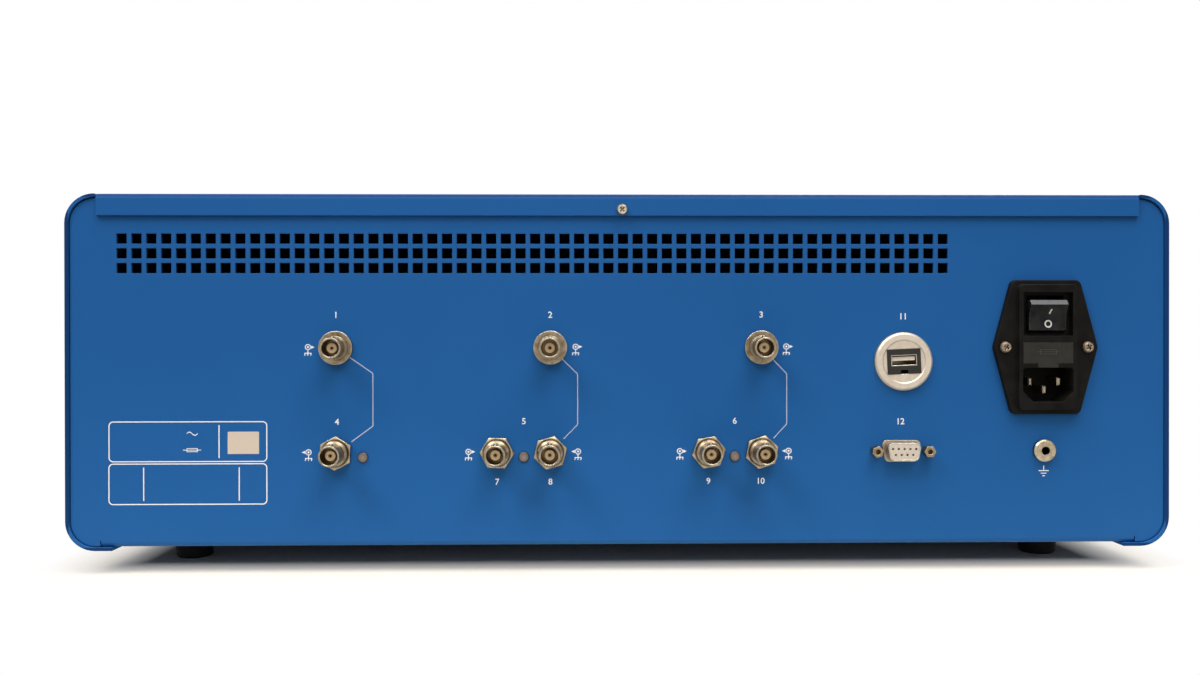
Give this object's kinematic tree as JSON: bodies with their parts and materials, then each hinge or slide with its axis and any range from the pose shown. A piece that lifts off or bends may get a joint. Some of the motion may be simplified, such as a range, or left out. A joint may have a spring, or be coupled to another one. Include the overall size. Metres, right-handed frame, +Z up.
{
  "type": "impedance analyzer",
  "caption": "Bench impedance analyzer with a wrap-round cover, vented connector panel, coaxial jacks, serial and data ports, mains inlet with rocker switch and fuse drawer, and rubber feet.",
  "frame": {"origin": "on the surface that the feet stand on, under the middle of the whole instrument", "axes": "+X to the right of someone who looks at the connector panel, +Y from the connector panel to the front panel, +Z up"},
  "size_m": [0.528, 0.392, 0.1809],
  "materials": {
    "blue_powder_coat": "fine powder coat",
    "nickel": "warm nickel plate",
    "cream_insulator": "moulded",
    "contact": "plated",
    "zinc_steel": "zinc plate",
    "black_rubber": "matte",
    "black_plastic": "moulded, slight sheen",
    "gloss_black": "glossy",
    "lamp_lens": "clear lens, unlit",
    "bright_tin": "tin plate",
    "satin_metal": "satin",
    "white_plastic": "moulded",
    "earth_metal": "nickel plate",
    "pin_metal": "tin plate",
    "fuse_glass": "glass with metal caps",
    "circuit_board": "solder resist",
    "brass_post": "plain",
    "supply_case": "galvanised"
  },
  "bodies": {
    "case": {"analog_shield": "bright_tin", "back_jack_nuts": "nickel", "board_screws": "zinc_steel", "board_standoffs": "brass_post", "channel_1_aux_jack": "nickel", "channel_1_lamp": "lamp_lens", "channel_1_main_jack": "nickel", "channel_2_aux_jack": "nickel", "channel_2_lamp": "lamp_lens", "channel_2_main_jack": "nickel", "chassis": "blue_powder_coat", "clinch_nuts": "zinc_steel", "cover": "blue_powder_coat", "cover_screw": "zinc_steel", "current_out_jack": "nickel", "data_bezel": "satin_metal", "data_insert": "black_plastic", "data_nut": "satin_metal", "data_port_shell": "bright_tin", "data_tongue": "white_plastic", "earth_nut": "earth_metal", "earth_pin": "pin_metal", "earth_socket": "earth_metal", "flange_jack_insulators": "cream_insulator", "foot_nuts": "zinc_steel", "foot_screws": "zinc_steel", "front_left_foot": "black_rubber", "front_panel": "blue_powder_coat", "front_panel_screws": "zinc_steel", "front_right_foot": "black_rubber", "generator_in_jack": "nickel", "generator_lamp": "lamp_lens", "generator_out_jack": "nickel", "high_current_jack": "nickel", "high_voltage_jack": "nickel", "inlet_housing": "black_plastic", "inlet_screws": "zinc_steel", "jack_contacts": "contact", "live_pin": "pin_metal", "low_current_jack": "nickel", "low_voltage_jack": "nickel", "main_board": "circuit_board", "neutral_pin": "pin_metal", "nut_jack_insulators": "cream_insulator", "panel_jack_nuts": "nickel", "power_lamp": "lamp_lens", "power_supply": "supply_case", "rear_left_foot": "black_rubber", "rear_right_foot": "black_rubber", "serial_insulator": "cream_insulator", "serial_jack_screws": "zinc_steel", "serial_shell": "bright_tin", "small_nuts": "zinc_steel", "voltage_out_jack": "nickel"},
    "rocker": {"power_rocker": "gloss_black"},
    "drawer": {"fuse_drawer": "black_plastic", "fuse": "fuse_glass"}
  },
  "joints": [
    {"name": "power_switch", "type": "hinge", "parent": "case", "child": "rocker", "pos_m": [0.2034, -0.1785, 0.1234], "axis": [1, 0, 0], "range_deg": [-24, 0]},
    {"name": "fuse_drawer_slide", "type": "slide", "parent": "case", "child": "drawer", "axis": [0, -1, 0], "range_m": [0, 0.018]}
  ]
}
